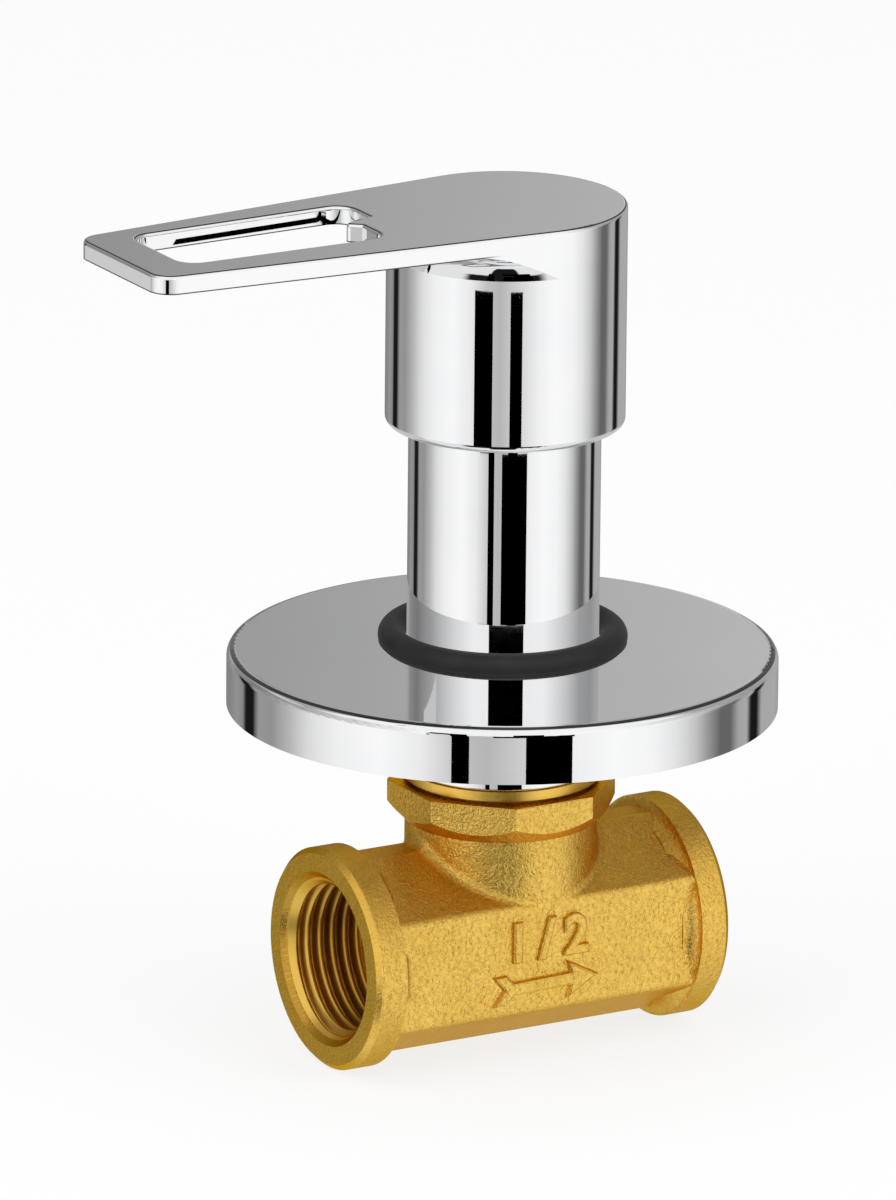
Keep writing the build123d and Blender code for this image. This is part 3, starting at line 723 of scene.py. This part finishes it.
class VALVE_OT_stage(bpy.types.Operator):
    """Set up the pale floor, the soft light and the camera"""

    bl_idname = "valve.stage"
    bl_label = "Studio"

    def execute(self, context):
        studio = context.scene.valve_studio
        self.floor()
        self.lamps(studio)
        self.streak_cards(studio)
        self.lever_cards(studio)
        self.world(context, studio)
        self.camera(context, studio)
        context.scene.view_settings.view_transform = "Standard"
        return {"FINISHED"}

    def floor(self):
        """Wide flat floor. The camera sees it white, with the valve's soft shadow kept."""
        half, low = 6.0, cad_box[0][2]
        corners = ((-half, -half, low), (half, -half, low), (half, half, low), (-half, half, low))
        floor = mesh_object("studio_floor", np.array(corners), [(0, 1, 2, 3)], False)
        material, paint = new_material("floor_white")
        matt = paint.out("ShaderNodeBsdfDiffuse", Color=(*grey(0.86), 1))
        glow = paint.light("Emission", 1.0, 1.0)
        paint.show(paint.either(paint.ray("Is Camera Ray") * 0.80, matt, glow))
        floor.data.materials.append(material)
        floor.visible_glossy = False

    def lamps(self, studio):
        """Two wide soft lamps at the front and one above, all aimed at the middle of the valve."""
        reach, middle = 1.6, Vector((0, 0, 0.04))
        for name, azimuth, elevation, size, power in (
            ("lamp_left", -80, 38, 1.2, 1.0),
            ("lamp_right", 28, 34, 1.2, 1.0),
            ("lamp_top", -30, 84, 1.4, 0.9),
        ):
            lamp = bpy.data.lights.new(name, "AREA")
            lamp.shape = "SQUARE"
            lamp.size = size
            lamp.energy = studio.lamp_power * power
            holder = new_object(name, lamp)
            turn, lift = radians(azimuth), radians(elevation)
            away = Vector((sin(turn) * cos(lift), -cos(turn) * cos(lift), sin(lift)))
            holder.location = middle + away * reach
            holder.rotation_euler = away.to_track_quat("Z", "Y").to_euler()
            holder.visible_glossy = False

    def streak_cards(self, studio):
        """Black cards that only the gloss sees: the narrow dark streaks down the chrome.

        Each card is a piece of an upright drum about the valve's axis. Where a streak is wanted at
        a share s of an upright surface's half width, its normal stands at arcsin(s) from the
        camera's side, so the ray leaves at twice that angle and meets the drum at the angle
        returned by drum_angle. It falls on the way by its length times the tangent of the camera's
        elevation.
        """
        black, paint = new_material("card_black")
        paint.show(paint.light("Emission", 0.0, 0.0))
        # the card on the far drum is for light that has met two chrome surfaces, so one mirror
        # alone looks through it
        second, paint = new_material("card_second")
        twice = paint.math("GREATER_THAN", paint.ray("Glossy Depth"), 1.5)
        clear = paint.out("ShaderNodeBsdfTransparent", Color=(*grey(1.0), 1))
        paint.show(paint.either(twice, clear, paint.light("Emission", 0.0, 0.0)))
        for name, radius, drum, low, high, spans in BANDS:
            for number, span in enumerate(spans):
                start, end = (self.drum_angle(share, radius, drum) for share in span)
                turn = np.linspace(start, end, CARD_STEPS) - studio.azimuth
                x, y = drum * np.sin(turn), -drum * np.cos(turn)
                rows = [np.stack([x, y, np.full(CARD_STEPS, edge)], -1) for edge in (high, low)]
                self.card(f"card_{name}_{number}", np.concatenate(rows),
                          second if drum == FAR_DRUM else black)

    @staticmethod
    def drum_angle(share, radius, drum):
        """Angle from the camera's side at which a streak's reflection meets the drum."""
        lean = asin(share)
        x, y = radius * sin(lean), radius * cos(lean)
        along, across = sin(2 * lean), cos(2 * lean)
        middle = x * along + y * across
        reach = sqrt(middle * middle + drum * drum - radius * radius) - middle
        return atan2(x + reach * along, y + reach * across)

    def lever_cards(self, studio):
        """Three small cards by the lever, each for one edge of it.

        A black strip stands under the slot. A black card, 2 cm from the lever's near corner, stands
        where that corner's dark streak looks. A pale card stands behind the lever's end.
        """
        black = bpy.data.materials["card_black"]
        strip_y, low, high = -0.0050, LEVER_BOTTOM - 0.0039, LEVER_BOTTOM - 0.0032
        self.card("card_slot", [(-0.0355, strip_y, low), (-0.0130, strip_y, low),
                                (-0.0350, strip_y, high), (-0.0135, strip_y, high)], black)
        reach, half_width, half_height = 0.02, 0.0030, 0.0045
        turn = radians(-13.3) - studio.azimuth
        corner = Vector((-0.0545, -0.0105, LEVER_BOTTOM - 0.0060))
        middle = corner + Vector((reach * sin(turn), -reach * cos(turn), 0))
        half = Vector((half_width * cos(turn), half_width * sin(turn), 0))
        rise = Vector((0, 0, half_height))
        self.card("card_corner", [middle - half - rise, middle + half - rise,
                                  middle - half + rise, middle + half + rise], black)
        # a glowing card that only the gloss sees: a bright reflection in the lever's end face
        pale, paint = new_material("card_pale")
        paint.show(paint.light("Emission", 1.0, 0.66))
        self.card("card_lever_end", [(-0.104, 0.042, 0.070), (-0.068, 0.062, 0.070),
                                     (-0.104, 0.042, 0.084), (-0.068, 0.062, 0.084)], pale)

    @staticmethod
    def card(name, points, material):
        """Card that only glossy rays see, from one row of points and then the other."""
        card = mesh_object(name, np.array(points), grid_faces(2, len(points) // 2), False)
        card.data.materials.append(material)
        card.visible_camera = False
        card.visible_diffuse = False
        card.visible_shadow = False
        card.visible_transmission = False

    def world(self, context, studio):
        """White behind the valve; for gloss, a room whose tone follows the direction.

        Round the horizon, and higher up, the tone is a ramp over the angle from the camera's side.
        High up it is white ahead and grey behind, and right behind the valve it grows from left to
        right. Below, it is a pale ground, with a black block and a dark crescent for the gloss
        under the lever.
        """
        world = context.scene.world or bpy.data.worlds.new("studio_world")
        context.scene.world = world
        world.use_nodes = True
        paint = Paint(world.node_tree)
        x, y, z = paint.parts(paint.out("ShaderNodeTexCoord", "Generated"))
        camera_x, camera_y = -sin(studio.azimuth), -cos(studio.azimuth)
        front = x * camera_x + y * camera_y
        side = x * -camera_y + y * camera_x
        below, back = 0.0 - z, 0.0 - front
        turn = paint.math("ARCTAN2", side, front) / (2 * pi) + 0.5
        growing = side * 4.6 + 0.42
        growing = paint.out("ShaderNodeCombineColor", _0=growing, _1=growing, _2=growing)
        growing = paint.mix(paint.rise(paint.size(side), 0.04, 0.12), growing, grey(0.42))
        upper = paint.mix(paint.rise(back, 0.80, 0.92), paint.ramp(turn, UPPER_TONES), growing)
        room = paint.mix(paint.rise(z, -0.06, 0.10), paint.ramp(turn, HORIZON_TONES), upper)
        room = paint.mix(paint.rise(z, 0.45, 0.60), room, grey(1.0))
        overhead = paint.rise(z, 0.36, 0.42) * paint.rise(back, -0.10, 0.15)
        room = paint.mix(overhead, room, grey(0.40))
        ahead = paint.rise(front, 0.0, 0.05)
        ground = paint.mix(ahead, grey(0.60), grey(0.86))
        room = paint.mix(paint.rise(below, 0.32, 0.40), room, ground)
        dark, away = paint.rise(below, 0.36, 0.40), paint.size(turn - 0.494)
        crescent = dark * paint.fall(below, 0.60, 0.66) * paint.fall(away, 0.095, 0.125)
        block = dark * paint.fall(away, 0.038, 0.046) * ahead
        room = paint.mix(paint.larger(crescent, block), room, grey(0.01))
        gloss = paint.out("ShaderNodeBackground", Color=room, Strength=1.0)
        even, white = (paint.light("Background", 1.0, strength) for strength in (0.55, 1.0))
        seen = paint.either(paint.ray("Is Camera Ray"), even, white)
        paint.show(paint.either(paint.ray("Is Glossy Ray"), seen, gloss), "World")

    def camera(self, context, studio):
        """Camera at the photograph's angle, with the small roll that its uprights show."""
        turn, lift = -studio.azimuth, studio.elevation
        right = Vector((cos(turn), sin(turn), 0))
        back = Vector((sin(turn) * cos(lift), -cos(turn) * cos(lift), sin(lift)))
        place = CAMERA_AIM + back * studio.distance
        up = back.cross(right)
        right, up = (cos(CAMERA_ROLL) * right + sin(CAMERA_ROLL) * up,
                     cos(CAMERA_ROLL) * up - sin(CAMERA_ROLL) * right)
        camera = bpy.data.cameras.new("camera")
        camera.sensor_fit = "VERTICAL"
        camera.sensor_height = SENSOR_HEIGHT
        camera.lens = FOCAL_PIXELS / PHOTO_PIXELS * SENSOR_HEIGHT
        camera.clip_start, camera.clip_end = 0.05, 50.0
        holder = new_object("camera", camera)
        facing = Matrix((right, up, back)).transposed().to_4x4()
        holder.matrix_world = Matrix.Translation(place) @ facing
        context.scene.camera = holder


class VALVE_PT_panel(bpy.types.Panel):
    """The steps and sizes of the valve's dressing"""

    bl_idname = "VALVE_PT_panel"
    bl_label = "Stop valve"
    bl_space_type = "VIEW_3D"
    bl_region_type = "UI"
    bl_category = "Stop valve"

    def draw(self, context):
        layout = self.layout
        scene = context.scene
        for group in (scene.valve_finish, scene.valve_shape, scene.valve_studio):
            box = layout.box()
            for name in group.bl_rna.properties.keys():
                if name not in ("rna_type", "name"):
                    box.prop(group, name)
        for operator in steps:
            layout.operator(operator.bl_idname)


steps = (VALVE_OT_finishes, VALVE_OT_threads, VALVE_OT_marks, VALVE_OT_ring_flash, VALVE_OT_stage)
groups = (FinishSettings, ShapeSettings, StudioSettings)


def register():
    for item in (*groups, *steps, VALVE_PT_panel):
        bpy.utils.register_class(item)
    bpy.types.Scene.valve_finish = bpy.props.PointerProperty(type=FinishSettings)
    bpy.types.Scene.valve_shape = bpy.props.PointerProperty(type=ShapeSettings)
    bpy.types.Scene.valve_studio = bpy.props.PointerProperty(type=StudioSettings)


def unregister():
    del bpy.types.Scene.valve_studio
    del bpy.types.Scene.valve_shape
    del bpy.types.Scene.valve_finish
    for item in (VALVE_PT_panel, *reversed(steps), *reversed(groups)):
        bpy.utils.unregister_class(item)


def main():
    """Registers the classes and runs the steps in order."""
    register()
    bpy.ops.valve.finishes()
    bpy.ops.valve.threads()
    bpy.ops.valve.marks()
    bpy.ops.valve.ring_flash()
    bpy.ops.valve.stage()


if __name__ == "__main__":
    main()
